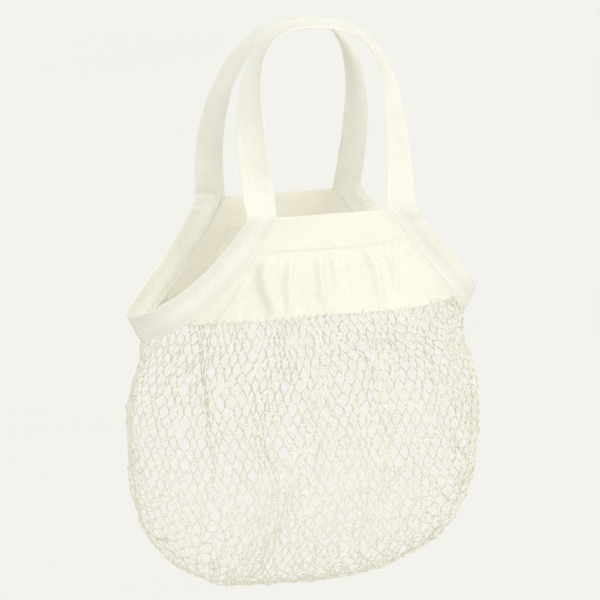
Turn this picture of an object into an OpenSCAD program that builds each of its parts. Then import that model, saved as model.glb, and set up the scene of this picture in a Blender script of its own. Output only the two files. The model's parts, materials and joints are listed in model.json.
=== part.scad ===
// Mesh produce bag: a knotless cotton net body under two cotton yokes, with the slanted
// yoke edges bound in herringbone webbing that runs on as the front and back handles.
// The bag has its hanging, filled shape. +Z is up, the front faces -Y, and the origin is
// the hang point, midway between the crowns of the two handles.

/* [Mouth and yokes] */
// Straight top edge of each yoke, between the two legs of its handle
mouth_width = 118; // [100:1:140]
// Front top edge to back top edge
mouth_depth = 136; // [116:1:150]
// Hem down to the yoke-to-net seam, at the middle of a yoke
yoke_drop = 95; // [85:1:105]
// Hem down to the side points, where the front and back webbing meet
side_drop = 101; // [95:1:108]
// Height of the doubled hem along the top of each yoke
hem_height = 35; // [25:1:40]

/* [Net body] */
// Width of the bag from side point to side point
bag_width = 382; // [360:1:400]
// Depth of the filled net at its fullest
bag_depth = 216; // [180:1:240]
// Hem down to the bottom of the net
bag_drop = 391; // [370:1:420]
// Roundness of the bag's outline, 2 being an ellipse
outline_power = 3; // [2.2:0.1:3.4]

/* [Webbing] */
// Width of the webbing
webbing_width = 32; // [30:1:34]
// Thickness of the webbing
webbing_thick = 1.8; // [1.4:0.1:2.2]
// Hem up to the crown of the handles
handle_rise = 185; // [170:1:200]
// Space between the two handles where they lean together
handle_space = 2; // [1:0.5:4]

/* [Cloth and thread] */
// Thickness of a yoke's single cloth
yoke_thick = 1.2; // [0.8:0.1:1.6]
// Thickness of the doubled hem
hem_thick = 2.2; // [1.8:0.1:2.6]
// Thickness of the net, yarn over yarn
net_thick = 2; // [1.6:0.1:2.4]
// Thickness of the overlocked seams
seam_thick = 2.6; // [2:0.1:3]
// Thickness of a stitch row
stitch_thick = 0.6; // [0.5:0.1:0.8]

/* [Hidden] */

net_color = "#efecd9";
yoke_color = "#fbf8ea";
webbing_color = "#ebe7d6";
thread_color = "#f4f1e2";

// Heights below are measured from the hem's top edge, which lies this far under the origin.
hem_level = -handle_rise;
mouth_x = mouth_width / 2;
mouth_y = mouth_depth / 2;
leg_x = mouth_x + webbing_width;
side_x = bag_width / 2;
belly_y = bag_depth / 2;

// Clear space between neighbouring pieces, and between a handle and what it folds over.
piece_gap = 0.5;
fold_gap = 0.7;

// Edges of the webbing as it is sewn down, from the mouth's corner to the side point: the
// free edge above, and the yoke's edge below. Bezier points with x and y counted outward
// from the middle of the bag. The left side sags more than the right.
left_binding_top = [[leg_x, mouth_y, 0], [leg_x + 30, mouth_y - 11, -56],
                    [side_x - 9, 40, 2 - side_drop], [side_x, 0, -side_drop]];
left_binding_low = [[mouth_x, mouth_y, 0], [mouth_x + 29, mouth_y - 6, -66],
                    [side_x - 41, mouth_y - 2, -side_drop - 9],
                    [side_x - 15, 0, -side_drop - 27]];
right_binding_top = [[leg_x, mouth_y, 0], [leg_x + 33, mouth_y - 11, -40],
                     [side_x - 15, 35, 17 - side_drop], [side_x, 0, -side_drop]];
right_binding_low = [[mouth_x, mouth_y, 0], [mouth_x + 34, mouth_y - 4, -52],
                     [side_x - 45, mouth_y - 2, 1 - side_drop],
                     [side_x - 15, 0, -side_drop - 27]];
// Share of the binding's lower edge that the yoke is sewn to: the rest holds the net.
yoke_share = 0.7;
// The yoke's middle drops ahead of its edges by this power, which keeps the hem level.
drop_power = 0.77;
// The front and back bindings stop this far along, just short of each other.
binding_end = 0.99;

// Edges of each handle's legs, from the mouth's corner to the crown. They start side by side
// along X and end side by side along Y, so the webbing makes a quarter turn on its way up:
// the front handle's outer edges end near the back handle, and the back handle's inner ones
// near the front handle.
crown_near = handle_space / 2;
crown_far = crown_near + webbing_width;
// The front handle's front edge droops this much at the crown.
crown_tilt = 5;
outer_foot = [leg_x, mouth_y, fold_gap];
inner_foot = [mouth_x, mouth_y, fold_gap];
near_crown = [0, crown_near, handle_rise];
far_crown = [0, crown_far, handle_rise];
tilted_crown = [0, crown_far, handle_rise - crown_tilt];
front_left_outer = [outer_foot, [leg_x - 1, 4, 116],
                    [70, crown_near, handle_rise - 3], near_crown];
front_left_inner = [inner_foot, [mouth_x + 8, 42, 131],
                    [80, crown_far, handle_rise - 1], tilted_crown];
front_right_outer = [outer_foot, [leg_x + 5, 30, 115],
                     [96, crown_near, handle_rise + 3], near_crown];
front_right_inner = [inner_foot, [mouth_x + 7, 51, 131],
                     [80, crown_far, handle_rise - 9], tilted_crown];
back_left_outer = [outer_foot, [leg_x + 13, 65, 120],
                   [43, crown_far, handle_rise + 2], far_crown];
back_left_inner = [inner_foot, [mouth_x + 31, 23, 109],
                   [61, crown_near, handle_rise - 2], near_crown];
back_right_outer = [outer_foot, [leg_x, 15, 134],
                    [65, crown_far, handle_rise + 1], far_crown];
back_right_inner = [inner_foot, [mouth_x - 5, 4, 116],
                    [53, crown_near, handle_rise - 2], near_crown];

// The net is fullest belly_drop below the hem, and is this much wider there than at its top.
belly_drop = 215;
belly_swell = 12;
swell_drop = 50;
depth_power = 1.8;
net_rim_drop = side_drop + 27 + piece_gap;
// The bottom of the net closes flat over the last of its height.
closing_share = 0.98;

net_columns = 34;
net_rows = 20;
yoke_columns = 24;
yoke_rows = 7;
strap_steps = 20;
seam_sides = 8;
stitch_sides = 6;
seam_steps = 36;

function unit(v) = v / norm(v);
function smooth(k) = let (c = max(0, min(1, k))) c * c * (3 - 2 * c);
function bezier(p, t) = pow(1 - t, 3) * p[0] + 3 * pow(1 - t, 2) * t * p[1]
                        + 3 * (1 - t) * t * t * p[2] + pow(t, 3) * p[3];
// A point of the front right quarter, moved to another quarter: side is -1 on the left,
// and face is -1 on the front and 1 on the back.
function place(p, side, face) = [side * p[0], face * p[1], p[2] + hem_level];
function along(list) = [for (i = [0:len(list) - 1])
    unit(list[min(i + 1, len(list) - 1)] - list[max(i - 1, 0)])];

// Outward normal of a grid of points at row r and column c, from its neighbours.
function grid_normal(grid, r, c) =
    let (last_row = len(grid) - 1, last_column = len(grid[0]) - 1)
    unit(cross(grid[r][min(c + 1, last_column)] - grid[r][max(c - 1, 0)],
               grid[min(r + 1, last_row)][c] - grid[max(r - 1, 0)][c]));
function raised(grid, height) = [for (r = [0:len(grid) - 1])
    [for (c = [0:len(grid[0]) - 1]) grid[r][c] + height * grid_normal(grid, r, c)]];
function mirrored(grid) = [for (row = grid)
    [for (c = [len(row) - 1:-1:0]) [row[c][0], -row[c][1], row[c][2]]]];
function joined(rows) = [for (row = rows) each row];
function quad(a, b, c, d) = [[a, b, c], [a, c, d]];

// Closed sheet between two grids of points of the same size.
module sheet(outside, inside) {
    rows = len(outside);
    columns = len(outside[0]);
    count = rows * columns;
    function id(r, c) = r * columns + c;
    skin = [for (r = [0:rows - 2]) for (c = [0:columns - 2])
        each quad(id(r, c), id(r + 1, c), id(r + 1, c + 1), id(r, c + 1))];
    lining = [for (f = skin) [f[2] + count, f[1] + count, f[0] + count]];
    top_and_bottom = [for (c = [0:columns - 2])
        each concat(quad(id(0, c), id(0, c + 1), id(0, c + 1) + count, id(0, c) + count),
                    quad(id(rows - 1, c + 1), id(rows - 1, c), id(rows - 1, c) + count,
                         id(rows - 1, c + 1) + count))];
    sides = [for (r = [0:rows - 2])
        each concat(quad(id(r + 1, 0), id(r, 0), id(r, 0) + count, id(r + 1, 0) + count),
                    quad(id(r, columns - 1), id(r + 1, columns - 1),
                         id(r + 1, columns - 1) + count, id(r, columns - 1) + count))];
    polyhedron(concat(joined(outside), joined(inside)),
               concat(skin, lining, top_and_bottom, sides));
}

// Round cord along a path, its sections set square to the path and turned to face ref.
module cord(path, thick, sides, ref) {
    tangents = along(path);
    rings = [for (i = [0:len(path) - 1])
        let (across = unit(cross(tangents[i], ref)), over = cross(across, tangents[i]))
        [for (k = [0:sides - 1])
            path[i] + thick / 2 * (cos(360 * k / sides) * across
                                   + sin(360 * k / sides) * over)]];
    last = len(path) - 1;
    wall = [for (i = [0:last - 1]) for (k = [0:sides - 1])
        each quad(i * sides + k, i * sides + (k + 1) % sides,
                  (i + 1) * sides + (k + 1) % sides, (i + 1) * sides + k)];
    polyhedron(joined(rings),
               concat(wall, [[for (k = [sides - 1:-1:0]) k]],
                      [[for (k = [0:sides - 1]) last * sides + k]]));
}

// Flat strap between two edges, each a list of points.
module strap(edge_a, edge_b) {
    middle = [for (i = [0:len(edge_a) - 1]) [edge_a[i], edge_b[i]]];
    sheet(raised(middle, webbing_thick / 2), raised(middle, -webbing_thick / 2));
}

// ---- Yokes and hems ----

function binding_low(side) = side < 0 ? left_binding_low : right_binding_low;
function binding_top(side) = side < 0 ? left_binding_top : right_binding_top;

// Front yoke as a surface: u runs from -1 at the left edge to 1 at the right, and t from 0
// at the mouth to yoke_share at the seam, as along the binding's lower edge.
function yoke_point(u, t) =
    let (left = bezier(left_binding_low, t),
         right = bezier(right_binding_low, t),
         edge = left + (right - left) * (1 + u) / 2,
         down = t / yoke_share,
         middle_y = mouth_y + 30 * down,
         middle_z = -yoke_drop * pow(down, drop_power),
         swell = 1 - pow(abs(u), 3),
         level = 1 - u * u)
    [u * edge[0],
     -(edge[1] + (middle_y - edge[1]) * swell),
     edge[2] + (middle_z - edge[2]) * level + hem_level];
function yoke_grid(from, to, rows) = [for (r = [0:rows])
    [for (c = [0:yoke_columns])
        yoke_point(2 * c / yoke_columns - 1, from + (to - from) * r / rows)]];

hem_share = yoke_share * pow(hem_height / yoke_drop, 1 / drop_power);
piece_share = yoke_share * piece_gap / yoke_drop;
seam_share = yoke_share * (seam_thick / 2 + piece_gap) / yoke_drop;
front_hem_grid = yoke_grid(0, hem_share, 3);
front_yoke_grid = yoke_grid(hem_share + piece_share, yoke_share - seam_share, yoke_rows);

module cloth(grid, thick) {
    sheet(raised(grid, thick / 2), raised(grid, -thick / 2));
}
module front_hem() { color(yoke_color) cloth(front_hem_grid, hem_thick); }
module back_hem() { color(yoke_color) cloth(mirrored(front_hem_grid), hem_thick); }
module front_yoke() { color(yoke_color) cloth(front_yoke_grid, yoke_thick); }
module back_yoke() { color(yoke_color) cloth(mirrored(front_yoke_grid), yoke_thick); }

module yoke_seam(face) {
    path = [for (i = [0:seam_steps])
        let (p = yoke_point(1.96 * i / seam_steps - 0.98, yoke_share))
        [p[0], -face * p[1], p[2]]];
    cord(path, seam_thick, seam_sides, [0, 0, 1]);
}
module front_yoke_seam() { color(thread_color) yoke_seam(-1); }
module back_yoke_seam() { color(thread_color) yoke_seam(1); }

// ---- Webbing ----

function curve(points, from, to, side, face) = [for (i = [0:strap_steps])
    place(bezier(points, from + (to - from) * i / strap_steps), side, face)];
// The binding's lower edge stands this share of its width off the yoke.
edge_share = piece_gap / webbing_width;

module binding(side, face) {
    low = curve(binding_low(side), 0, binding_end, side, face);
    top = curve(binding_top(side), 0, binding_end, side, face);
    low_edge = [for (i = [0:strap_steps]) low[i] + (top[i] - low[i]) * edge_share];
    strap(side * face < 0 ? low_edge : top, side * face < 0 ? top : low_edge);
}
module front_left_binding() { color(webbing_color) binding(-1, -1); }
module front_right_binding() { color(webbing_color) binding(1, -1); }
module back_left_binding() { color(webbing_color) binding(-1, 1); }
module back_right_binding() { color(webbing_color) binding(1, 1); }

// Whole edge of a handle, up the left leg, over the crown and down the right leg.
function handle_edge(left_points, right_points, face) =
    let (left = curve(left_points, 0, 1, -1, face), right = curve(right_points, 0, 1, 1, face))
    concat(left, [for (i = [strap_steps - 1:-1:0]) right[i]]);
module front_handle() {
    color(webbing_color) strap(handle_edge(front_left_outer, front_right_outer, -1),
                               handle_edge(front_left_inner, front_right_inner, -1));
}
module back_handle() {
    color(webbing_color) strap(handle_edge(back_left_inner, back_right_inner, 1),
                               handle_edge(back_left_outer, back_right_outer, 1));
}

// ---- Net ----

// Half width and half depth of the net at a height below the hem.
function fall(z) = max(0, (-z - belly_drop) / (bag_drop - belly_drop));
function round_off(k, power) = pow(max(0, 1 - pow(k, power)), 1 / power);
function net_half_width(z) =
    (side_x - 15 + belly_swell * smooth((-z - net_rim_drop) / swell_drop))
    * round_off(fall(z), outline_power);
function net_half_depth(z) = belly_y * round_off(fall(z), depth_power);

// Top edge of the front net: a runs from -90 at the left side to 90 at the right. Its middle
// hangs from the yoke's seam, and its ends from the webbing's lower edge.
rim_x = side_x - 15;
function net_rim(a) =
    let (seam_end_x = bezier(binding_low(a), yoke_share)[0],
         seam_end_angle = asin(seam_end_x / rim_x),
         past = max(0, (abs(a) - seam_end_angle) / (90 - seam_end_angle)),
         edge = bezier(binding_low(a), yoke_share + (1 - yoke_share) * past),
         yoke = yoke_point(rim_x * sin(a) / seam_end_x, yoke_share))
    abs(a) > seam_end_angle ? [sign(a) * edge[0], -edge[1], edge[2] - piece_gap]
                            : [yoke[0], yoke[1], yoke[2] - hem_level];
function net_point(a, v) =
    let (rim = net_rim(a),
         top = rim[2] - seam_thick / 2 - piece_gap,
         closing = v >= 1,
         depth = closing ? closing_share : closing_share * (1 - pow(1 - v, 1.7)),
         z = top - (bag_drop + top) * depth,
         blend = smooth(depth * 3),
         // The closing row is spread evenly, which keeps the corners' facets wide.
         body_x = net_half_width(z) * (closing ? a / 90 : sin(a)),
         body_y = net_half_depth(z) * cos(a))
    [rim[0] + (body_x - rim[0]) * blend,
     -(closing ? 0 : -rim[1] + (body_y + rim[1]) * blend) - seam_thick / 2 - piece_gap,
     (closing ? -bag_drop : z) + hem_level];
front_net_grid = [for (r = [0:net_rows])
    [for (c = [0:net_columns]) net_point(180 * c / net_columns - 90, r / net_rows)]];

module front_net() { color(net_color) sheet(front_net_grid, raised(front_net_grid, -net_thick)); }
module back_net() {
    grid = mirrored(front_net_grid);
    color(net_color) sheet(grid, raised(grid, -net_thick));
}
// The seam that closes the net runs down the left side, under the bag and up the right.
module net_seam() {
    left = [for (row = front_net_grid) [row[0][0], 0, row[0][2]]];
    right = [for (row = front_net_grid) [row[net_columns][0], 0, row[net_columns][2]]];
    path = concat(left, [for (r = [net_rows:-1:0]) right[r]]);
    color(thread_color) cord(path, seam_thick, seam_sides, [0, 1, 0]);
}

// ---- Stitch rows ----

// Each row lies on the outer face of the cloth that it holds down.
stitch_lift = stitch_thick / 2 + 0.1;
module hem_stitches(face) {
    row = [yoke_grid(hem_share * 0.94, hem_share, 1)[0], yoke_grid(hem_share, 1, 1)[0]];
    lifted = raised(row, hem_thick / 2 + stitch_lift)[0];
    path = [for (c = [1:yoke_columns - 1]) [lifted[c][0], -face * lifted[c][1], lifted[c][2]]];
    cord(path, stitch_thick, stitch_sides, [0, 0, 1]);
}
module front_hem_stitches() { color(thread_color) hem_stitches(-1); }
module back_hem_stitches() { color(thread_color) hem_stitches(1); }

// One row along each side, this share of the webbing's width in from the yoke's edge.
binding_stitch_share = 0.12;
module binding_stitches(face) {
    for (side = [-1, 1]) {
        low = curve(binding_low(side), 0.02, 0.95, side, face);
        top = curve(binding_top(side), 0.02, 0.95, side, face);
        row = [for (i = [0:strap_steps])
            let (across = top[i] - low[i])
            [low[i] + across * binding_stitch_share, low[i] + across * 0.5]];
        out = side * face < 0 ? 1 : -1;
        lifted = raised(row, out * (webbing_thick / 2 + stitch_lift));
        cord([for (pair = lifted) pair[0]], stitch_thick, stitch_sides, [0, 0, 1]);
    }
}
module front_binding_stitches() { color(thread_color) binding_stitches(-1); }
module back_binding_stitches() { color(thread_color) binding_stitches(1); }

front_net();
back_net();
net_seam();
front_yoke();
back_yoke();
front_hem();
back_hem();
front_yoke_seam();
back_yoke_seam();
front_left_binding();
front_right_binding();
back_left_binding();
back_right_binding();
front_handle();
back_handle();
front_hem_stitches();
back_hem_stitches();
front_binding_stitches();
back_binding_stitches();
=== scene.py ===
"""Mesh produce bag: yarn net, gathered cotton yokes, herringbone webbing and sewing thread.

Lengths are in millimetres until a mesh is made, and heights are measured from the hem's top
edge, which is where the two handles fold. Edge curves are listed by side, with x and y counted
outward from the middle of the bag, as in the CAD source.
"""

import json
import math

import bpy
import numpy as np
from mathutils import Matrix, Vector

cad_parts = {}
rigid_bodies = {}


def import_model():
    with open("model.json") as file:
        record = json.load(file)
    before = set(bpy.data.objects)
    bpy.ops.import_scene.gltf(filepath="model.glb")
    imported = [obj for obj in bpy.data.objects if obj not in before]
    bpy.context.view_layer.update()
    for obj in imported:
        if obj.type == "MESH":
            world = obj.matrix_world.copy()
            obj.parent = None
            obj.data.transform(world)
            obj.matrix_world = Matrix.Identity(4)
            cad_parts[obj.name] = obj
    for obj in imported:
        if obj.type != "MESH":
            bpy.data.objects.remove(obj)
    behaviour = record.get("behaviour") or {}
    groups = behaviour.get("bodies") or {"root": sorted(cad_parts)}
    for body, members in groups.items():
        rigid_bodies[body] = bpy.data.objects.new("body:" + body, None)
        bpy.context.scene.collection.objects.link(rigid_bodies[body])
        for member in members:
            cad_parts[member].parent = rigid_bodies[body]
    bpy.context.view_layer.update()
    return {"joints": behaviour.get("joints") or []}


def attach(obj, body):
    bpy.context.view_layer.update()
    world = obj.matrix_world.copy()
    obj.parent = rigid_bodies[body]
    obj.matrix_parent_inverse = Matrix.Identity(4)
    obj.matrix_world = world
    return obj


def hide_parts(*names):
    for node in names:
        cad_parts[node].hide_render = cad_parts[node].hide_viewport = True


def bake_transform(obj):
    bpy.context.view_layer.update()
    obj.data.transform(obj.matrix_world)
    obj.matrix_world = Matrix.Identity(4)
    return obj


for startup_object in list(bpy.data.objects):
    bpy.data.objects.remove(startup_object)
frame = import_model()

MM = 0.001
HEM = round(frame["joints"][0]["pos_m"][2] / MM, 3)
FRONT, BACK = -1, 1
LEFT, RIGHT = -1, 1

# ---- Sizes that repeat the CAD source ----

MOUTH_Y = 68
SIDE_X, BELLY_Y = 191, 108
RIM_X = 176
YOKE_DROP, HEM_HEIGHT, BAG_DROP = 95, 35, 391
YOKE_SHARE, DROP_POWER, YOKE_SPREAD = 0.7, 0.77, 30
BELLY_DROP, BELLY_SWELL, SWELL_DROP = 215, 12, 50
NET_RIM_DROP, OUTLINE_POWER, DEPTH_POWER = 128.5, 3.0, 1.8
WEBBING_WIDTH, WEBBING_THICK = 32, 1.8

BINDING_TOP = {LEFT: [(91, 68, 0), (121, 57, -56), (182, 40, -99), (191, 0, -101)],
               RIGHT: [(91, 68, 0), (124, 57, -40), (176, 35, -84), (191, 0, -101)]}
BINDING_LOW = {LEFT: [(59, 68, 0), (88, 62, -66), (150, 66, -110), (176, 0, -128)],
               RIGHT: [(59, 68, 0), (93, 64, -52), (146, 66, -100), (176, 0, -128)]}
HANDLE_OUTER = {
    (FRONT, LEFT): [(91, 68, 0.7), (90, 4, 116), (70, 1, 182), (0, 1, 185)],
    (FRONT, RIGHT): [(91, 68, 0.7), (96, 30, 115), (96, 1, 188), (0, 1, 185)],
    (BACK, LEFT): [(91, 68, 0.7), (104, 65, 120), (43, 33, 187), (0, 33, 185)],
    (BACK, RIGHT): [(91, 68, 0.7), (91, 15, 134), (65, 33, 186), (0, 33, 185)]}
HANDLE_INNER = {
    (FRONT, LEFT): [(59, 68, 0.7), (67, 42, 131), (80, 33, 184), (0, 33, 180)],
    (FRONT, RIGHT): [(59, 68, 0.7), (66, 51, 131), (80, 33, 176), (0, 33, 180)],
    (BACK, LEFT): [(59, 68, 0.7), (90, 23, 109), (61, 1, 183), (0, 1, 185)],
    (BACK, RIGHT): [(59, 68, 0.7), (54, 4, 116), (53, 1, 183), (0, 1, 185)]}


# ---- Small helpers ----

def smooth(k):
    c = np.clip(k, 0, 1)
    return c * c * (3 - 2 * c)


def bezier(points, t):
    p = np.array(points, float)
    t = np.asarray(t, float)[..., None]
    return (1 - t) ** 3 * p[0] + 3 * (1 - t) ** 2 * t * p[1] + 3 * (1 - t) * t * t * p[2] + t ** 3 * p[3]


def unit(v):
    return v / np.maximum(np.linalg.norm(v, axis=-1, keepdims=True), 1e-9)


def lengths_along(path):
    steps = np.linalg.norm(np.diff(path, axis=0), axis=1)
    return np.concatenate([[0], np.cumsum(steps)])


def resampled(path, count):
    along = lengths_along(path)
    at = np.linspace(0, along[-1], count)
    return np.stack([np.interp(at, along, path[:, k]) for k in range(path.shape[1])], axis=1)


def softened(values, reach):
    """Runs a bell-shaped average along the first axis, with the ends held."""
    half = max(1, int(reach * 3))
    kernel = np.exp(-0.5 * (np.arange(-half, half + 1) / reach) ** 2)
    kernel /= kernel.sum()
    padded = np.concatenate([2 * values[:1] - values[half:0:-1], values,
                             2 * values[-1:] - values[-2:-half - 2:-1]])
    return np.stack([np.convolve(padded[:, k], kernel, "valid") for k in range(values.shape[1])], axis=1)


def random_wave(x, reach, seed, size=4096):
    """Smooth random curve of unit height that changes over about this reach."""
    local = np.random.default_rng(seed).standard_normal(size)
    at = np.asarray(x, float) / reach + size / 2
    low = np.floor(at).astype(int)
    k = smooth(at - low)
    return local[low % size] * (1 - k) + local[(low + 1) % size] * k


def add_mesh(name, points, faces, material, uvs=None):
    """Makes a piece from points in millimetres; uvs holds one pair for each corner of a face."""
    data = bpy.data.meshes.new(name)
    data.from_pydata((np.asarray(points, float) * MM).tolist(), [], faces)
    data.shade_smooth()
    if uvs is not None:
        layer = data.uv_layers.new(name="UVMap")
        layer.data.foreach_set("uv", np.asarray(uvs, np.float32).ravel())
    data.materials.append(material)
    obj = bpy.data.objects.new(name, data)
    bpy.context.scene.collection.objects.link(obj)
    return obj


def grid_faces(rows, columns, wrap=False):
    """Quads of a grid of points; wrap joins the last column to the first."""
    r = np.arange(rows - 1)[:, None]
    c = np.arange(columns if wrap else columns - 1)[None, :]
    right = (c + 1) % columns
    quads = np.stack([r * columns + c, r * columns + right,
                      (r + 1) * columns + right, (r + 1) * columns + c], axis=-1)
    return quads.reshape(-1, 4)


def corner_uvs(faces, point_uvs):
    return point_uvs[np.asarray(faces)].reshape(-1, 2)


# ---- Materials ----

def linear(red, green, blue):
    def one(value):
        k = value / 255
        return k / 12.92 if k <= 0.04045 else ((k + 0.055) / 1.055) ** 2.4
    return (one(red), one(green), one(blue), 1)


class Nodes:
    """Short way to build one material's node tree."""

    def __init__(self, name, roughness, sheen):
        self.material = bpy.data.materials.new(name)
        self.material.use_nodes = True
        self.tree = self.material.node_tree
        self.shader = self.tree.nodes["Principled BSDF"]
        self.shader.inputs["Sheen Weight"].default_value = sheen
        self.shader.inputs["Sheen Roughness"].default_value = 0.6
        self.shader.inputs["Specular IOR Level"].default_value = 0.25
        self.shader.inputs["Roughness"].default_value = roughness

    def add(self, kind, **settings):
        node = self.tree.nodes.new(kind)
        for key, value in settings.items():
            setattr(node, key, value)
        return node

    def link(self, source, target):
        self.tree.links.new(source, target)

    def math(self, operation, a, b=None):
        node = self.add("ShaderNodeMath", operation=operation)
        for socket, value in zip(node.inputs, (a, b)):
            if value is None:
                continue
            if isinstance(value, (int, float)):
                socket.default_value = value
            else:
                self.link(value, socket)
        return node.outputs[0]

    def wave(self, value, pitch):
        """Sine of a length, one turn for each pitch."""
        return self.math("SINE", self.math("MULTIPLY", value, 2 * math.pi / pitch))

    def noise(self, source, scale, detail=3):
        node = self.add("ShaderNodeTexNoise")
        node.inputs["Scale"].default_value = scale
        node.inputs["Detail"].default_value = detail
        self.link(source, node.inputs["Vector"])
        return node.outputs["Fac"]

    def ramp(self, fac, stops):
        node = self.add("ShaderNodeValToRGB")
        while len(node.color_ramp.elements) < len(stops):
            node.color_ramp.elements.new(0.5)
        for element, (place, colour) in zip(node.color_ramp.elements, stops):
            element.position = place
            element.color = colour
        self.link(fac, node.inputs["Fac"])
        return node.outputs["Color"]

    def place(self):
        return self.add("ShaderNodeTexCoord").outputs["Object"]

    def uv_mm(self):
        """The two lengths of the piece's UV map, in millimetres."""
        split = self.add("ShaderNodeSeparateXYZ")
        self.link(self.add("ShaderNodeTexCoord").outputs["UV"], split.inputs[0])
        return [self.math("MULTIPLY", split.outputs[k], 100) for k in (0, 1)]

    def finish(self, colour, height, depth, roughness=None):
        self.link(colour, self.shader.inputs["Base Color"])
        bump = self.add("ShaderNodeBump")
        bump.inputs["Distance"].default_value = depth * MM
        bump.inputs["Strength"].default_value = 1
        self.link(height, bump.inputs["Height"])
        self.link(bump.outputs["Normal"], self.shader.inputs["Normal"])
        if roughness is not None:
            self.link(roughness, self.shader.inputs["Roughness"])
        return self.material


def webbing_material():
    """Herringbone cotton: ribs run up the strap at a slant that changes side at each zone."""
    zone, rib, slant, weft = 10.67, 1.7, 0.42, 0.9
    m = Nodes("herringbone_webbing", 0.85, 0.25)
    across, along = m.uv_mm()
    slanted = m.math("ADD", m.math("PINGPONG", across, zone), m.math("MULTIPLY", along, slant))
    ribs = m.math("ADD", m.math("MULTIPLY", m.wave(slanted, rib), 0.5), 0.5)
    picks = m.math("ADD", m.math("MULTIPLY", m.wave(along, weft), 0.5), 0.5)
    fuzz = m.noise(m.place(), 900, 4)
    height = m.math("ADD", ribs, m.math("ADD", m.math("MULTIPLY", picks, 0.35),
                                        m.math("MULTIPLY", fuzz, 0.5)))
    patches = m.noise(m.place(), 28, 4)
    # Colour: painted shade darkens the grooves between the ribs, and random patches vary the tone of the
    # cloth.
    shade = m.math("ADD", m.math("MULTIPLY", ribs, 0.5), m.math("MULTIPLY", patches, 0.5))
    colour = m.ramp(shade, [(0.18, linear(239, 235, 218)), (0.48, linear(255, 254, 241)),
                            (0.78, linear(255, 255, 246))])
    rough = m.math("ADD", m.math("MULTIPLY", patches, 0.2), 0.75)
    return m.finish(colour, height, 0.38, rough)


def cotton_material():
    """Plain-woven cotton with slightly uneven threads."""
    thread = 0.75
    m = Nodes("plain_cotton", 0.85, 0.3)
    across, along = m.uv_mm()
    warp = m.wave(across, thread)
    weft = m.wave(along, thread)
    weave = m.math("MULTIPLY", warp, weft)
    slubs = m.noise(m.place(), 420, 5)
    patches = m.noise(m.place(), 22, 4)
    height = m.math("ADD", m.math("MULTIPLY", weave, 0.5), slubs)
    shade = m.math("ADD", m.math("MULTIPLY", slubs, 0.5), m.math("MULTIPLY", patches, 0.5))
    colour = m.ramp(shade, [(0.2, linear(234, 230, 213)), (0.5, linear(246, 243, 228)),
                            (0.8, linear(252, 250, 238))])
    rough = m.math("ADD", m.math("MULTIPLY", slubs, 0.2), 0.75)
    return m.finish(colour, height, 0.16, rough)


def yarn_material(name, twist, depth, dark, light):
    """Twisted cotton: the UV map runs round the yarn and along it."""
    m = Nodes(name, 0.9, 0.35)
    around, along = m.uv_mm()
    plies = m.wave(m.math("ADD", around, m.math("MULTIPLY", along, 1 / twist)), 1)
    fuzz = m.noise(m.place(), 1500, 4)
    height = m.math("ADD", m.math("MULTIPLY", plies, 0.5), m.math("MULTIPLY", fuzz, 0.7))
    patches = m.noise(m.place(), 60, 4)
    # Colour: painted shade darkens the grooves between the plies, and random patches vary the tone from
    # strand to strand.
    shade = m.math("ADD", m.math("MULTIPLY", patches, 0.6), m.math("MULTIPLY", plies, 0.12))
    colour = m.ramp(shade, [(0.12, dark), (0.5, light)])
    rough = m.math("ADD", m.math("MULTIPLY", fuzz, 0.15), 0.8)
    return m.finish(colour, height, depth, rough)


def floor_material():
    m = Nodes("pale_floor", 0.9, 0)
    mottle = m.noise(m.place(), 0.8, 2)
    colour = m.ramp(mottle, [(0.3, linear(235, 234, 230)), (0.7, linear(236, 235, 231))])
    return m.finish(colour, m.noise(m.place(), 300, 2), 0.02)


WEBBING = webbing_material()
COTTON = cotton_material()
NET_YARN = yarn_material("net_yarn", 3.2, 0.12, linear(232, 227, 210), linear(253, 251, 238))
THREAD = yarn_material("sewing_thread", 1.2, 0.05, linear(236, 232, 218), linear(253, 251, 240))


# ---- Camera, floor and light ----

def add_camera():
    bearing, lift, distance, focal = math.radians(-23.0), math.radians(11.45), 3.5, 208.0
    aim = Vector((-0.00479, 0.00203, -0.2847))
    away = towards(bearing, lift)
    data = bpy.data.cameras.new("camera")
    data.lens = focal
    data.sensor_width = 36
    data.clip_end = 200
    camera = bpy.data.objects.new("camera", data)
    camera.location = aim + away * distance
    camera.rotation_mode = "QUATERNION"
    camera.rotation_quaternion = (-away).to_track_quat("-Z", "Y")
    bpy.context.scene.collection.objects.link(camera)
    bpy.context.scene.camera = camera


def towards(bearing, lift):
    """Direction from the bag, with the bearing measured from its front to its right."""
    return Vector((math.sin(bearing) * math.cos(lift), -math.cos(bearing) * math.cos(lift), math.sin(lift)))


def add_floor():
    size, drop = 80000, -1300
    corners = [(-size, -size, drop), (size, -size, drop), (size, size, drop), (-size, size, drop)]
    floor = add_mesh("floor", corners, [(0, 1, 2, 3)], floor_material())


def add_sun(name, energy, softness, bearing, lift, colour):
    light = bpy.data.lights.new(name, "SUN")
    light.energy = energy
    light.angle = math.radians(softness)
    light.color = colour
    lamp = bpy.data.objects.new(name, light)
    lamp.rotation_mode = "QUATERNION"
    lamp.rotation_quaternion = towards(math.radians(bearing), math.radians(lift)).to_track_quat("Z", "Y")
    bpy.context.scene.collection.objects.link(lamp)


def add_world():
    world = bpy.data.worlds.new("studio")
    world.use_nodes = True
    background = world.node_tree.nodes["Background"]
    background.inputs["Color"].default_value = (0.955, 0.955, 0.945, 1)
    background.inputs["Strength"].default_value = 0.91
    bpy.context.scene.world = world
    bpy.context.scene.view_settings.view_transform = "Standard"


def studio():
    add_camera()
    add_floor()
    add_sun("key", 1.0, 30, 6, 40, (1, 0.998, 0.988))
    add_world()


# ---- Webbing ----

# How far across the webbing its stitches run, from the yoke's edge.
STITCH_SHARE = 0.11


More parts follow.
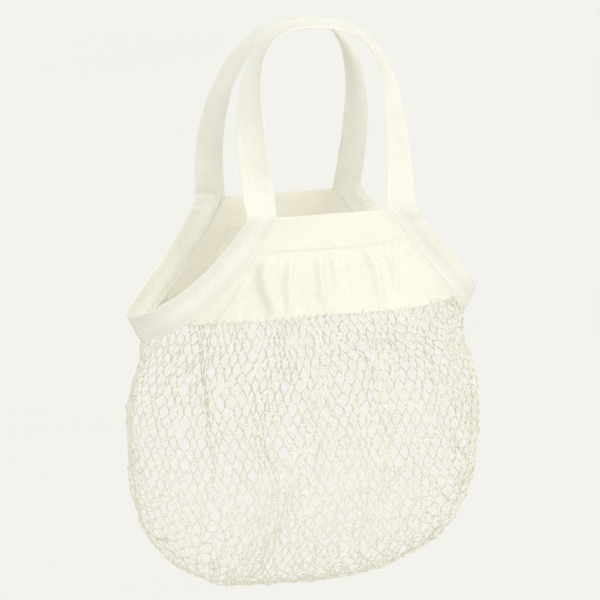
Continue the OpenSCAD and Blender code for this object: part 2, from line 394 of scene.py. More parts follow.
def strap_edges(face, step=1.5):
    """Both edges of one strap, from the left side point over the handle to the right one."""
    down = np.linspace(0, 1, 160)
    edges = []
    for bindings, handles in ((BINDING_LOW, HANDLE_INNER), (BINDING_TOP, HANDLE_OUTER)):
        legs = []
        for side in (LEFT, RIGHT):
            sewn = bezier(bindings[side], down)[::-1]
            free = bezier(handles[face, side], down)[1:]
            legs.append(np.concatenate([sewn, free]) * [side, face, 1])
        edges.append(np.concatenate([legs[0], legs[1][::-1][1:]]))
    along = lengths_along((edges[0] + edges[1]) / 2)
    at = np.linspace(0, along[-1], int(along[-1] / step))
    inner, outer = (softened(np.stack([np.interp(at, along, edge[:, k]) for k in range(3)], axis=1), 2.2)
                    for edge in edges)
    return inner, outer, at


def strap_profile(across=36):
    """Half-heights over the width of the webbing, with rounded selvages."""
    s = (1 - np.cos(np.linspace(0, math.pi, across))) / 2
    rim = np.clip((np.abs(2 * s - 1) - 0.92) / 0.08, 0, 1)
    return s, WEBBING_THICK / 2 * np.sqrt(np.maximum(1 - rim ** 2, 0.02))


def webbing(name, face, seed):
    inner, outer, along = strap_edges(face)
    s, half = strap_profile()
    width = outer - inner
    normal = softened(unit(np.cross(unit(np.gradient((inner + outer) / 2, axis=0)), width)) * face, 3)
    rise = (inner[:, 2] + outer[:, 2]) / 2
    free = smooth((rise - 5) / 40)
    sewn = smooth(-rise / 3)
    cup = (0.5 + 1.1 * free) * random_wave(along, 46, seed) * 0.55
    ripple = (0.35 + 0.35 * free) * random_wave(along, 17, seed + 1) * 0.5
    crease = 1.2 * np.exp(-((rise - 3) / 8) ** 2)
    crease += 0.9 * np.exp(-(rise / 24) ** 2) * random_wave(along, 6, seed + 2)

    def row(share, height):
        lift = cup * (1 - (2 * share - 1) ** 2) + ripple * (share - 0.4) * 2 - crease * share
        height *= 1 - 0.85 * sewn * math.exp(-((share - STITCH_SHARE) / 0.032) ** 2)
        return inner + width * share + normal * (height + lift)[:, None]

    top = [row(share, h) for share, h in zip(s, half)]
    under = [row(share, -h) for share, h in zip(s[1:-1], half[1:-1])][::-1]
    shares = np.concatenate([s, s[1:-1][::-1]])
    points = np.stack(top + under, axis=1)
    count, columns = points.shape[:2]
    faces = grid_faces(count, columns, wrap=True)
    if face == FRONT:
        faces = faces[:, ::-1]
    caps = [list(range(columns)), [(count - 1) * columns + k for k in range(columns)][::-1]]
    uv = np.stack(np.broadcast_arrays(shares[None, :] * WEBBING_WIDTH, along[:, None]), axis=-1)
    uv = uv.reshape(-1, 2) / 100
    all_faces = faces.tolist() + caps
    uvs = np.concatenate([uv[np.array(f)] for f in all_faces])
    piece = add_mesh(name, points.reshape(-1, 3) + [0, 0, HEM], all_faces, WEBBING, uvs)
    return piece


# ---- Yokes and hems ----

HEM_SHARE = (HEM_HEIGHT / YOKE_DROP) ** (1 / DROP_POWER)


def yoke_surface(u, down):
    """Front yoke: u from -1 to 1 across, and down from 0 at the mouth to 1 at the net."""
    left = bezier(BINDING_LOW[LEFT], YOKE_SHARE * down)
    right = bezier(BINDING_LOW[RIGHT], YOKE_SHARE * down)
    edge = left + (right - left) * (1 + u[..., None]) / 2
    middle_y = MOUTH_Y + YOKE_SPREAD * down
    middle_z = -YOKE_DROP * down ** DROP_POWER
    swell = 1 - np.abs(u) ** 3
    level = 1 - u * u
    return np.stack([u * edge[..., 0],
                     -(edge[..., 1] + (middle_y - edge[..., 1]) * swell),
                     edge[..., 2] + (middle_z - edge[..., 2]) * level], axis=-1)


def grid_normals(points):
    """Outward normals of a front grid whose rows go down and columns to the right."""
    return unit(np.cross(np.gradient(points, axis=1), -np.gradient(points, axis=0)))


# Soft folds of each yoke: where it starts under the hem and ends at the net (both across the
# yoke), how wide and how high it is, and how far down it starts and ends.
FRONT_FOLDS = [(-0.84, -0.50, 5.5, 6.5, 0.28, 1.15), (-0.56, -0.40, 4.2, 5.0, 0.30, 1.05),
               (-0.22, -0.14, 4.4, 5.0, 0.28, 0.95), (-0.04, -0.02, 3.6, 3.2, 0.28, 0.75),
               (0.42, 0.30, 4.2, 5.0, 0.28, 1.0), (0.64, 0.44, 3.6, 4.6, 0.28, 0.9),
               (0.92, 0.80, 3.0, 2.4, 0.28, 0.70), (-0.93, -0.84, 4.0, 3.0, 0.42, 1.1),
               (0.16, 0.10, 6.0, 2.4, 0.30, 0.9)]
BACK_FOLDS = [(-0.66, -0.50, 6.0, 2.6, 0.30, 1.1), (-0.30, -0.28, 5.0, 1.8, 0.30, 0.9),
              (0.05, 0.12, 6.0, 2.0, 0.30, 1.1), (0.45, 0.40, 4.5, 2.2, 0.32, 1.0),
              (0.82, 0.70, 5.0, 2.2, 0.30, 1.1)]


def gathers(points, u, down, folds, seed):
    """How far the cloth stands off its smooth shape."""
    lift = np.zeros_like(u)
    x = points[..., 0]
    half = np.abs(points[:, :1, 0])
    for top, low, wide, high, start, end in folds:
        centre = (top + (low - top) * smooth((down - HEM_SHARE) / (1 - HEM_SHARE))) * half
        run = smooth((down - start) / 0.16) * smooth((end - down) / 0.25)
        lift += high * run * np.exp(-((x - centre) / wide) ** 2)
    below_hem = np.exp(-((down - HEM_SHARE) / 0.16)) * smooth((down - HEM_SHARE) / 0.06)
    lift += 1.1 * below_hem * random_wave(x, 4.2, seed)
    near_net = np.exp(-(1 - down) / 0.13)
    lift += 0.9 * near_net * random_wave(x + 12 * down, 4.6, seed + 1)
    lift += 0.8 * smooth((down - HEM_SHARE) / 0.2) * random_wave(x + 30 * down, 26, seed + 2)
    return lift


def cloth_shell(points, normals, thick):
    """Closed sheet around a grid: both faces and the rim between them."""
    rows, columns = points.shape[:2]
    outer = points + normals * (thick / 2)
    inner = points - normals * (thick / 2)
    count = rows * columns
    skin = grid_faces(rows, columns)
    rim = list(range(columns))
    rim += [r * columns + columns - 1 for r in range(1, rows)]
    rim += [(rows - 1) * columns + c for c in range(columns - 2, -1, -1)]
    rim += [r * columns for r in range(rows - 2, 0, -1)]
    rim = np.array(rim)
    after = np.roll(rim, -1)
    sides = np.stack([rim, after, after + count, rim + count], axis=1)
    faces = np.concatenate([skin[:, ::-1], skin + count, sides])
    return np.concatenate([outer.reshape(-1, 3), inner.reshape(-1, 3)]), faces


def cloth_uv(points):
    """Lengths across and down a grid, in tenths of a metre, as the materials read them."""
    across = np.cumsum(np.linalg.norm(np.diff(points, axis=1, prepend=points[:, :1]), axis=2), axis=1)
    down = np.cumsum(np.linalg.norm(np.diff(points, axis=0, prepend=points[:1]), axis=2), axis=0)
    across -= across[:, [across.shape[1] // 2]]
    return np.stack([across, down], axis=-1).reshape(-1, 2) / 100


def turned(points, face):
    """Front points as they are, or turned over to the back."""
    return points * [1, -face, 1]


def tucked(points, tuck):
    """Runs both side edges of a grid in under the webbing."""
    points = points.copy()
    for column, side in ((0, -1), (-1, 1)):
        edge = points[:, column]
        across = np.array([side * 0.8, 0.15, 0.55])
        points[:, column] = edge + across * tuck + [0, 1.2, 0]
    return points


def yoke(name, face, folds, seed, columns=300, rows=64):
    down = np.linspace(HEM_SHARE - 0.02, 1.015, rows)[:, None] * np.ones((1, columns))
    u = np.linspace(-1, 1, columns)[None, :] * np.ones((rows, 1))
    base = yoke_surface(u, down)
    normal = grid_normals(base)
    lift = gathers(base, u, down, folds, seed)
    ends = smooth((1 - np.abs(u)) / 0.05)
    points = base + normal * (lift * ends - 0.1)[..., None]
    points = tucked(points, 4)
    verts, faces = cloth_shell(points, grid_normals(points), 0.8)
    uv = np.tile(cloth_uv(points), (2, 1))
    piece = add_mesh(name, turned(verts, face) + [0, 0, HEM],
                     (faces if face < 0 else faces[:, ::-1]).tolist(), COTTON,
                     corner_uvs(faces if face < 0 else faces[:, ::-1], uv))
    return piece


def hem(name, face, seed, columns=150):
    # The last rows stand close together, so that the lower edge is shaded as a crisp fold.
    shares = np.concatenate([[0, 0.012], np.linspace(0.05, 0.96, 20), [0.985, 0.995, 1]])
    down = HEM_SHARE * shares[:, None] * np.ones((1, columns))
    u = np.linspace(-1, 1, columns)[None, :] * np.ones((len(shares), 1))
    base = yoke_surface(u, down)
    normal = grid_normals(base)
    share = down / HEM_SHARE
    stitched = np.exp(-((share - 0.93) / 0.05) ** 2)
    lift = -0.12 * stitched + 0.2 * smooth((share - 0.5) / 0.4) * random_wave(base[..., 0], 4.5, seed)
    lift += 0.35 * random_wave(base[..., 0] + 20 * share, 30, seed + 1)
    points = base + normal * lift[..., None]
    points = tucked(points, 3)
    thick = 1.7 * np.sqrt(np.clip(share / 0.06, 0.05, 1)) * (1 - 0.5 * smooth((share - 0.8) / 0.2))
    verts, faces = cloth_shell(points, grid_normals(points), thick[..., None])
    uv = np.tile(cloth_uv(points), (2, 1))
    faces = faces if face < 0 else faces[:, ::-1]
    piece = add_mesh(name, turned(verts, face) + [0, 0, HEM], faces.tolist(), COTTON, corner_uvs(faces, uv))
    return piece


# ---- Net ----

CELLS = 46
# Radius of the yarn, and the length of a cell's leg from knot to knot.
YARN = 0.68
LEG = 12.6
# Half of a joint's height as a share of a leg, and how far each yarn lies to its side and out.
JOINT_SHARE, JOINT_SIDE, JOINT_OUT = 0.18, 0.42, 0.35
# The least and the most that a fold may open the columns, as a share of their even spacing.
MOST_CLOSED, MOST_OPEN = 0.40, 2.8
# Angle round the bag beyond which the columns stand wider just under the rim, and over how far.
WIDER_FROM, WIDER_OVER = 42, 12
# How often the lattice's lengths are evened out, and from which step the shape pulls less.
RELAX_STEPS, SETTLE_STEP = 120, 90


def net_rim(a):
    """Top edge of the front net at an angle from -90 to 90."""
    a = np.asarray(a, float)
    rims = {}
    for side in (LEFT, RIGHT):
        end_x = bezier(BINDING_LOW[side], YOKE_SHARE)[0]
        end_angle = math.degrees(math.asin(end_x / RIM_X))
        past = np.clip((np.abs(a) - end_angle) / (90 - end_angle), 0, 1)
        edge = bezier(BINDING_LOW[side], YOKE_SHARE + (1 - YOKE_SHARE) * past) * np.array([side, -1, 1])
        u = np.clip(RIM_X * np.sin(np.radians(a)) / end_x, -1, 1)
        cloth = yoke_surface(u, np.ones_like(a))
        rims[side] = np.where((np.abs(a) > end_angle)[..., None], edge, cloth)
    return np.where((a < 0)[..., None], rims[LEFT], rims[RIGHT])


def fall(z):
    return np.clip((-z - BELLY_DROP) / (BAG_DROP - BELLY_DROP), 0, 1)


def full_width(z):
    """Half width that the net would have at a height if its bottom weren't rounded."""
    return RIM_X + BELLY_SWELL * smooth((-z - NET_RIM_DROP) / SWELL_DROP)


def net_point(a, v, column_x=None):
    """Front net's smooth shape: a as for the rim, v from 0 to 1 downward. With column_x, a column
    keeps that place across the bag where the bottom narrows."""
    rim = net_rim(a)
    depth = 1 - (1 - v) ** 1.7
    z = rim[..., 2] - (BAG_DROP + rim[..., 2]) * depth
    blend = smooth(depth * 3)
    half_x = full_width(z) * (1 - fall(z) ** OUTLINE_POWER) ** (1 / OUTLINE_POWER)
    half_y = BELLY_Y * (1 - fall(z) ** DEPTH_POWER) ** (1 / DEPTH_POWER)
    if column_x is None:
        across = np.sin(np.radians(a))
    else:
        across = np.clip(column_x / np.maximum(half_x, 1e-6), -1, 1)
    x = half_x * across
    y = -half_y * np.sqrt(1 - across ** 2)
    return np.stack([rim[..., 0] + (x - rim[..., 0]) * blend,
                     rim[..., 1] + (y - rim[..., 1]) * blend, z], axis=-1)


class NetShape:
    """Projects points onto the front net's shape along rays from the middle of the belly."""

    def __init__(self):
        self.turn = np.linspace(-90, 90, 91)
        self.tilt = np.linspace(-90, 45, 136)
        angles = np.linspace(-90, 90, 181)
        table_r = np.zeros((len(angles), len(self.tilt)))
        table_t = np.zeros_like(table_r)
        for i, a in enumerate(angles):
            v = np.linspace(0, 1, 400)
            p = self.scaled(net_point(np.full_like(v, a), v))
            flat = np.hypot(p[:, 0], p[:, 1])
            tilt = np.degrees(np.arctan2(p[:, 2], flat))[::-1]
            turn = np.where(flat > 1e-3, np.degrees(np.arctan2(p[:, 0], p[:, 1])), a)[::-1]
            table_r[i] = np.interp(self.tilt, tilt, np.linalg.norm(p, axis=1)[::-1])
            table_t[i] = np.interp(self.tilt, tilt, turn)
        self.table = np.stack([np.interp(self.turn, table_t[:, k], table_r[:, k])
                               for k in range(len(self.tilt))], axis=1)

    @staticmethod
    def scaled(p):
        return np.stack([p[..., 0] / SIDE_X, -p[..., 1] / BELLY_Y,
                         (p[..., 2] + BELLY_DROP) / (BAG_DROP - BELLY_DROP)], axis=-1)

    @staticmethod
    def unscaled(q):
        return np.stack([q[..., 0] * SIDE_X, -q[..., 1] * BELLY_Y,
                         q[..., 2] * (BAG_DROP - BELLY_DROP) - BELLY_DROP], axis=-1)

    def project(self, p):
        q = self.scaled(p)
        q[..., 1] = np.maximum(q[..., 1], 0)
        size = np.linalg.norm(q, axis=-1)
        turn = np.degrees(np.arctan2(q[..., 0], q[..., 1] + 1e-9))
        tilt = np.degrees(np.arctan2(q[..., 2], np.hypot(q[..., 0], q[..., 1])))
        i = np.clip((turn - self.turn[0]) / (self.turn[1] - self.turn[0]), 0, len(self.turn) - 1.001)
        k = np.clip((tilt - self.tilt[0]) / (self.tilt[1] - self.tilt[0]), 0, len(self.tilt) - 1.001)
        i0, k0 = i.astype(int), k.astype(int)
        di, dk = i - i0, k - k0
        t = self.table
        radius = ((t[i0, k0] * (1 - dk) + t[i0, k0 + 1] * dk) * (1 - di)
                  + (t[i0 + 1, k0] * (1 - dk) + t[i0 + 1, k0 + 1] * dk) * di)
        return self.unscaled(q * (radius / np.maximum(size, 1e-6))[..., None])


def fold_shape(x, z, fold):
    """1 along the middle of a fold, and 0 away from it."""
    top, low, wide, _, start, end, _ = fold
    run = smooth((-z - start) / 30) * smooth((end + z) / 50)
    centre = top + (low - top) * np.clip((-z - start) / (end - start), 0, 1)
    return run * np.exp(-((x - centre) / wide) ** 2)


def bunching(x, z, folds):
    """How closely the columns stand: below 1 in the bunched folds, above 1 in open parts."""
    value = np.ones_like(x)
    for fold in folds:
        value *= 1 + fold[3] * fold_shape(x, z, fold)
    return value


# Folds and open parts of each net: its middle at the top and at the bottom (mm across the
# bag), how wide it is, how much it opens the cells (negative closes them), the heights under
# the hem between which it runs, and how far it stands out.
FRONT_NET_FOLDS = [(-24, -99, 18, -0.62, 95, 400, 12), (50, 60, 16, -0.58, 105, 330, -14),
                   (-165, -150, 18, -0.50, 115, 225, -10), (158, 150, 16, -0.45, 105, 215, -8),
                   (96, 110, 26, 0.55, 140, 400, -4), (-140, -150, 40, 0.80, 190, 420, 0),
                   (-68, -58, 16, 0.30, 130, 260, -4), (15, 10, 26, -0.22, 100, 260, 0)]
BACK_NET_FOLDS = [(30, -20, 14, -0.4, 110, 380, 5), (-90, -70, 12, -0.4, 110, 320, -9),
                  (120, 95, 13, -0.4, 110, 340, 4), (-30, -60, 26, 0.2, 160, 400, 0),
                  (75, 60, 24, 0.25, 170, 400, -3), (-155, -150, 30, 0.35, 150, 400, 0)]


def net_columns(folds, seed, levels=150):
    """Points of the net's columns (two for each cell) on their way down, and their lengths."""
    turns = np.linspace(-90, 90, 721)
    steps = np.linspace(0, 1, levels)
    points = np.zeros((2 * CELLS + 1, levels, 3))
    ended = np.zeros((2 * CELLS + 1, levels), bool)
    for j, v in enumerate(steps):
        level = net_point(turns, np.full_like(turns, v))
        z = level[:, 2]
        wide = np.stack([full_width(z) * np.sin(np.radians(turns)),
                         BELLY_Y * np.cos(np.radians(turns))], axis=1)
        run = lengths_along(wide)
        opened = bunching(wide[:, 0], z, folds)
        broad = 0.16 * random_wave(run / 17 + z / 60, 1, seed)
        fine = 0.1 * random_wave(run / 6 - z / 35, 1, seed + 1)
        opened *= 1 + broad + fine
        near_rim = 1 - smooth((v - 0.02) / 0.22)
        wider = smooth((np.abs(turns) - WIDER_FROM) / WIDER_OVER)
        opened = np.clip(opened * (1 + 1.5 * near_rim * wider), MOST_CLOSED, MOST_OPEN)
        count = np.concatenate([[0], np.cumsum(np.diff(run) * 2 / (opened[1:] + opened[:-1]))])
        a = np.interp(np.linspace(0, count[-1], 2 * CELLS + 1), count, turns)
        column_x = np.interp(a, turns, wide[:, 0])
        points[:, j] = net_point(a, np.full_like(a, v), column_x)
        drop = points[:, j, 2]
        narrow = full_width(drop) * (1 - fall(drop) ** OUTLINE_POWER) ** (1 / OUTLINE_POWER)
        ended[:, j] = np.abs(column_x) > narrow
    lengths = np.zeros((2 * CELLS + 1, levels))
    lengths[:, 1:] = np.cumsum(np.linalg.norm(np.diff(points, axis=1), axis=2), axis=1)
    last = np.where(ended.any(axis=1), np.argmax(ended, axis=1), levels - 1)
    return points, lengths, lengths[np.arange(2 * CELLS + 1), last]


def leg_share(z):
    """The cells are pulled a little longer towards the bottom."""
    return 1 + 0.12 * smooth((-z - 330) / 50)


def net_layout(folds, seed):
    """First places of the lattice's nodes, and which of them lie inside the net's edges."""
    points, lengths, ends = net_columns(folds, seed)
    count = 2 * CELLS + 1

    def at(down):
        return np.array([[np.interp(down[c], lengths[c], points[c, :, k]) for k in range(3)]
                         for c in range(count)])

    down = np.zeros(count)
    rows, inside = [at(down)], [np.ones(count, bool)]
    while inside[-1].any() and len(rows) < 140:
        here = rows[-1]
        width = np.linalg.norm(np.gradient(here, axis=0) * 2, axis=1)
        step = np.sqrt(np.maximum(LEG ** 2 - (width / 2) ** 2, (0.42 * LEG) ** 2))
        step *= leg_share(here[:, 2])
        down = down + softened(step[:, None], 3)[:, 0]
        rows.append(at(np.minimum(down, ends)))
        inside.append((down < ends - 0.3 * step) & (np.arange(count) % (count - 1) > 0))
    grid, inside = np.array(rows), np.array(inside)
    parity = (np.arange(len(rows))[:, None] + np.arange(count)[None, :]) % 2 == 0
    jitter = np.random.default_rng(seed).normal(0, 0.8, grid.shape)
    jitter[0] = 0
    return grid + jitter, inside & parity


def seam_line():
    v = np.linspace(0, 1, 500)
    right = net_point(np.full_like(v, 90), v)
    right[:, 1] = 0
    left = right * [-1, 1, 1]
    return resampled(np.concatenate([left, right[::-1][1:]]), 1600)


def nearest_on(line, points):
    flat = points.reshape(-1, 1, 3)
    away = np.linalg.norm(flat - line[None, :, :], axis=2)
    return line[np.argmin(away, axis=1)].reshape(points.shape)


NEIGHBOURS = [(-1, -1), (-1, 1), (1, -1), (1, 1)]


def sewn_nodes(grid, inside, seam):
    """Marks the nodes just past the net's edge, and moves them onto the seam."""
    rows, columns = inside.shape
    guess = {}
    for a, b in zip(*np.nonzero(inside)):
        for dq, dc in NEIGHBOURS:
            m, n = a + dq, b + dc
            if 0 < m < rows and 0 <= n < columns and not inside[m, n]:
                guess.setdefault((m, n), []).append(grid[a, b] + [0, 0, -dq * LEG * 0.7])
    on_seam = np.zeros_like(inside)
    for (m, n), found in guess.items():
        on_seam[m, n] = True
        grid[m, n] = np.mean(found, axis=0)
    grid[on_seam] = nearest_on(seam, grid[on_seam])
    return on_seam


def lattice_legs(grid, inside, used, seed):
    """The legs in four groups that share no node, each with its own slightly uneven lengths."""
    rows, columns = inside.shape
    local = np.random.default_rng(seed)
    legs = []
    for parity in (0, 1):
        for dc in (-1, 1):
            a = np.array([(m, n) for m in range(parity, rows - 1, 2) for n in range(columns)
                          if used[m, n] and 0 <= n + dc < columns and used[m + 1, n + dc]
                          and (inside[m, n] or inside[m + 1, n + dc])])
            lengths = LEG * leg_share(grid[a[:, 0], a[:, 1], 2]) * (1 + 0.08 * local.standard_normal(len(a)))
            legs.append((a[:, 0], a[:, 1], a[:, 0] + 1, a[:, 1] + dc, lengths))
    return legs


def relaxed_net(folds, seed, shape, seam):
    """Lattice of yarn legs hung from the rim, laid on the net's shape and sewn to the seam."""
    grid, inside = net_layout(folds, seed)
    on_seam = sewn_nodes(grid, inside, seam)
    target = grid.copy()
    legs = lattice_legs(grid, inside, inside | on_seam, seed + 5)
    free = inside.copy()
    free[0] = False
    weight = np.where(free, 1.0, 0.0)
    for step in range(RELAX_STEPS):
        pull = 0.12 if step < SETTLE_STEP else 0.06
        grid[free] += pull * (target[free] - grid[free]) * [1, 1, 0.5]
        grid[free, 2] -= 0.08
        for m, n, m2, n2, length in legs:
            gap = grid[m2, n2] - grid[m, n]
            far = np.linalg.norm(gap, axis=1)
            wa, wb = weight[m, n], weight[m2, n2]
            stiff = np.where(far > length, 0.9, 0.3)
            share = stiff * (far - length) / np.maximum(far, 1e-6) / np.maximum(wa + wb, 1e-9)
            grid[m, n] += gap * (share * wa)[:, None]
            grid[m2, n2] -= gap * (share * wb)[:, None]
        grid[free] = shape.project(grid[free])
    return grid, inside, on_seam


def runs_of(inside, used):
    """Each yarn as the list of lattice nodes that it passes, from the rim or seam to the seam."""
    rows, columns = inside.shape
    runs = []
    for slope in (1, -1):
        for start in range(-rows, columns + rows):
            run = []
            for q in range(rows):
                c = start + slope * q
                ok = 0 <= c < columns and used[q, c] and (c - q) % 2 == 0
                if ok and not run:
                    run = [(q, c)]
                elif ok:
                    if inside[q, c] or inside[run[-1]]:
                        run.append((q, c))
                    else:
                        if len(run) > 1:
                            runs.append((slope, run))
                        run = [(q, c)]
                else:
                    if len(run) > 1:
                        runs.append((slope, run))
                    run = []
            if len(run) > 1:
                runs.append((slope, run))
    return runs


def yarn_tube(path, radii, reference, sides):
    """Rings of points round a path, with the UV of each."""
    tangent = unit(np.gradient(path, axis=0))
    across = unit(np.cross(tangent, reference))
    over = np.cross(across, tangent)
    angle = np.arange(sides) * 2 * math.pi / sides
    spokes = (np.cos(angle)[None, :, None] * across[:, None, :]
              + np.sin(angle)[None, :, None] * over[:, None, :])
    rings = path[:, None, :] + radii[:, None, None] * spokes
    along = lengths_along(path)
    uv = np.stack(np.broadcast_arrays(np.arange(sides)[None, :] / sides, along[:, None]), axis=-1)
    return rings, uv


class TubeBuilder:
    """Collects many tubes into one mesh."""

    def __init__(self, sides):
        self.sides = sides
        self.points, self.faces, self.uvs = [], [], []
        self.count = 0

    def add(self, path, radii, reference):
        rings, uv = yarn_tube(path, radii, reference, self.sides)
        rows = len(path)
        faces = grid_faces(rows, self.sides, wrap=True)
        flat = uv.reshape(-1, 2)
        corner = flat[faces]
        wraps = (faces % self.sides == 0) & (np.arange(len(faces))[:, None] % self.sides == self.sides - 1)
        corner[..., 0] += wraps
        self.points.append(rings.reshape(-1, 3))
        self.faces.append(faces + self.count)
        self.uvs.append(corner.reshape(-1, 2))
        self.count += rows * self.sides

    def build(self, name, material):
        uvs = np.concatenate(self.uvs) / 100
        return add_mesh(name, np.concatenate(self.points), np.concatenate(self.faces).tolist(), material, uvs)


def smooth_path(points, steps):
    """Curve through the points, this many steps for each gap."""
    p = np.concatenate([2 * points[:1] - points[1:2], points, 2 * points[-1:] - points[-2:-1]])
    t = np.arange(steps) / steps
    a, b, c, d = (p[i:len(p) - 3 + i, None, :] for i in range(4))
    t = t[None, :, None]
    curve = 0.5 * (2 * b + (c - a) * t + (2 * a - 5 * b + 4 * c - d) * t ** 2
                   + (3 * b - a - 3 * c + d) * t ** 3)
    return np.concatenate([curve.reshape(-1, 3), points[-1:]])


def net_relief(grid, folds, seed):
    """How far each node stands off the net's smooth shape."""
    x, z = grid[..., 0], grid[..., 2]
    relief = sum(fold[6] * fold_shape(x, z, fold) for fold in folds)
    below_rim = np.clip(-z - 95, 0, None)
    q_index = np.arange(grid.shape[0])[:, None]
    c_index = np.arange(grid.shape[1])[None, :]
    pleat = 2.6 * np.exp(-below_rim / 60) * smooth(below_rim / 14)
    relief += pleat * random_wave(c_index + 0.15 * q_index, 2.6, seed)
    relief += np.random.default_rng(seed).normal(0, 0.8, grid.shape[:2]) * smooth(below_rim / 20)
    return relief


def down_the_net(grid, present):
    """Direction from the nodes above each node to those below it."""
    filled = np.where(present[..., None], grid, 0.0)
    weight = present.astype(float)
    row_sum = filled[:, :-2] + filled[:, 2:]
    row_weight = weight[:, :-2] + weight[:, 2:]
    mean = np.zeros_like(grid)
    mean[:, 1:-1] = row_sum / np.maximum(row_weight, 1)[..., None]
    known = np.zeros(present.shape, bool)
    known[:, 1:-1] = row_weight > 0
    down = np.zeros_like(grid)
    down[..., 2] = -1
    both = known[:-2] & known[2:]
    down[1:-1][both] = unit((mean[2:] - mean[:-2])[both])
    return down


def joint_path(points, down, out, side):
    """Path through one yarn's joints: it runs down along each one beside the crossing yarn."""
    half = LEG * JOINT_SHARE
    above = points - down * half - side * JOINT_SIDE + out * JOINT_OUT
    below = points + down * half + side * JOINT_SIDE - out * JOINT_OUT
    joints = np.stack([above, below], axis=1).reshape(-1, 3)
    path = smooth_path(joints, 2)
    keep = np.arange(len(path)) % 4 != 1
    return path[keep]


def net(name, face, folds, seed, shape, seam):
    grid, inside, on_seam = relaxed_net(folds, seed, shape, seam)
    present = inside | on_seam
    middle = np.array([0, 0, -BELLY_DROP - 20.0])
    outward = unit((grid - middle) * [1, 1.6, 0.75])
    relief = np.where(on_seam, 0, net_relief(grid, folds, seed + 2))
    relief[0] = -1.2
    base = grid + outward * relief[..., None] - [0, 1.8, 0]
    down = down_the_net(base, present)
    across = unit(np.cross(outward, down))
    tubes = TubeBuilder(5)
    for slope, run in runs_of(inside, present):
        q, c = np.array(run).T
        path = joint_path(base[q, c], down[q, c], outward[q, c], across[q, c] * slope)
        reference = np.repeat(outward[q, c], 3, axis=0)[:len(path)]
        radii = np.full(len(path), YARN)
        radii[0::3] *= 1.1
        radii[1::3] *= 1.1
        tubes.add(turned(path, face) + [0, 0, HEM], radii, turned(reference, face))
    return tubes.build(name, NET_YARN)


# ---- Seams and stitches ----

def overlock(name, path, reference, core, thread, pitch):
    """Cord wrapped in a fine thread, as an overlocked edge."""
    path = resampled(path, int(lengths_along(path)[-1] / 4))
    along = lengths_along(path)
    tangent = unit(np.gradient(path, axis=0))
    reference = np.array(reference, float)
    tubes = TubeBuilder(5)
    tubes.add(path, np.full(len(path), core), np.broadcast_to(reference, path.shape))
    at = np.arange(0, along[-1], pitch / 8)
    centre, direction = (np.stack([np.interp(at, along, values[:, k]) for k in range(3)], axis=1)
                         for values in (path, tangent))
    across = unit(np.cross(direction, reference))
    over = np.cross(across, direction)
    turn = at * 2 * math.pi / pitch
    outward = np.cos(turn)[:, None] * across + np.sin(turn)[:, None] * over
    tubes.add(centre + (core + thread * 0.4) * outward, np.full(len(at), thread), outward)
    return tubes.build(name, THREAD)


def stitch_row(tubes, path, reference, length=2.7, gap=0.7, radius=0.36):
    """Row of short stitches, each dipping into the cloth at both ends."""
    along = lengths_along(path)
    count = int(along[-1] / (length + gap))
    for k in range(count):
        at = np.linspace(0, 1, 6) * length + k * (length + gap)
        points = np.stack([np.interp(at, along, path[:, j]) for j in range(3)], axis=1)
        ref = unit(np.stack([np.interp(at, along, reference[:, j]) for j in range(3)], axis=1))
        arch = np.sin(np.linspace(0, 1, 6) * math.pi) ** 0.6
        tubes.add(points + ref * (arch * 0.45 - 0.3)[:, None], radius * (0.35 + 0.65 * arch), ref)


def hem_stitches(name, face):
    u = np.linspace(-0.97, 0.97, 160)
    down = np.full_like(u, HEM_SHARE * 0.94)
    grid = yoke_surface(np.stack([u, u]), np.stack([down, down + 0.01]))
    normal = grid_normals(grid)[0]
    tubes = TubeBuilder(6)
    for side in (1, -1):
        stitch_row(tubes, turned(grid[0] + side * normal * 0.85, face) + [0, 0, HEM],
                   turned(side * normal, face))
    return tubes.build(name, THREAD)


def binding_stitches(name, face):
    tubes = TubeBuilder(6)
    inner, outer, _ = strap_edges(face)
    tangent = unit(np.gradient((inner + outer) / 2, axis=0))
    width = outer - inner
    normal = unit(np.cross(tangent, width)) * face
    middle = (inner[:, 2] + outer[:, 2]) / 2
    for part in ((middle < 1) & (inner[:, 0] < 0), (middle < 1) & (inner[:, 0] > 0)):
        for sign in (1, -1):
            row = inner[part] + width[part] * STITCH_SHARE + normal[part] * sign * (WEBBING_THICK / 2 - 0.55)
            stitch_row(tubes, row + [0, 0, HEM], normal[part] * sign)
    return tubes.build(name, THREAD)


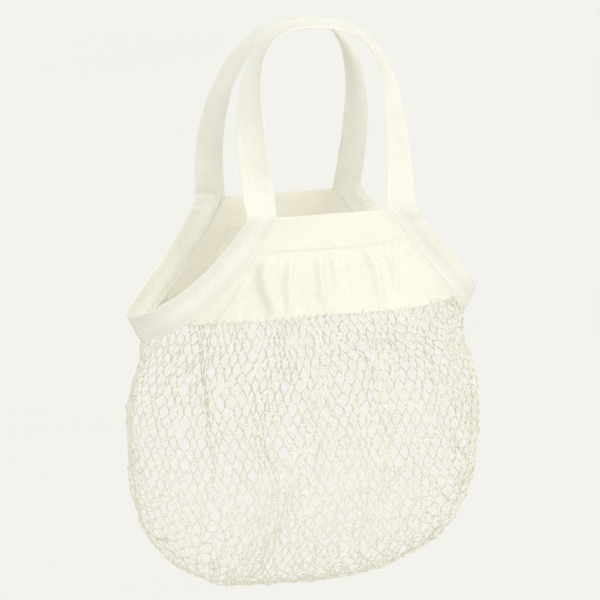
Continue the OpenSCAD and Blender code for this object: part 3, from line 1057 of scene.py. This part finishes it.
def yoke_seam(name, face):
    u = np.linspace(-0.99, 0.99, 200)
    line = yoke_surface(u, np.full_like(u, 1.0)) + [0, 1.3, 0]
    return overlock(name, turned(line, face) + [0, 0, HEM], (0, 0, 1), 0.9, 0.28, 2.4)


# ---- The whole bag ----

studio()

front_webbing = webbing("front_webbing", FRONT, 21)
back_webbing = webbing("back_webbing", BACK, 47)
front_yoke = yoke("front_yoke_cloth", FRONT, FRONT_FOLDS, 5)
back_yoke = yoke("back_yoke_cloth", BACK, BACK_FOLDS, 15)
front_hem = hem("front_hem_band", FRONT, 33)
back_hem = hem("back_hem_band", BACK, 37)

net_shape = NetShape()
seam = seam_line()
front_net = net("front_net_yarn", FRONT, FRONT_NET_FOLDS, 71, net_shape, seam)
back_net = net("back_net_yarn", BACK, BACK_NET_FOLDS, 87, net_shape, seam)

net_seam = overlock("net_seam_overlock", seam + [0, 0, HEM], (0, 1, 0), 0.7, 0.28, 2.6)


front_seam = yoke_seam("front_yoke_overlock", FRONT)
back_seam = yoke_seam("back_yoke_overlock", BACK)
front_hem_rows = hem_stitches("front_hem_stitching", FRONT)
back_hem_rows = hem_stitches("back_hem_stitching", BACK)
front_binding_rows = binding_stitches("front_webbing_stitching", FRONT)
back_binding_rows = binding_stitches("back_webbing_stitching", BACK)

for piece, handle, start in ((front_webbing, "front_handle", -1), (back_webbing, "back_handle", 1)):
    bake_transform(piece)

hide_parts("front_handle", "front_left_binding", "front_right_binding")
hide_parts("back_handle", "back_left_binding", "back_right_binding")
for piece, node in ((front_yoke, "front_yoke"), (back_yoke, "back_yoke"), (front_hem, "front_hem"),
                    (back_hem, "back_hem"), (front_net, "front_net"), (back_net, "back_net"),
                    (net_seam, "net_seam"), (front_seam, "front_yoke_seam"), (back_seam, "back_yoke_seam"),
                    (front_hem_rows, "front_hem_stitches"), (back_hem_rows, "back_hem_stitches"),
                    (front_binding_rows, "front_binding_stitches"),
                    (back_binding_rows, "back_binding_stitches")):
    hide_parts(node)
    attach(piece, "bag")
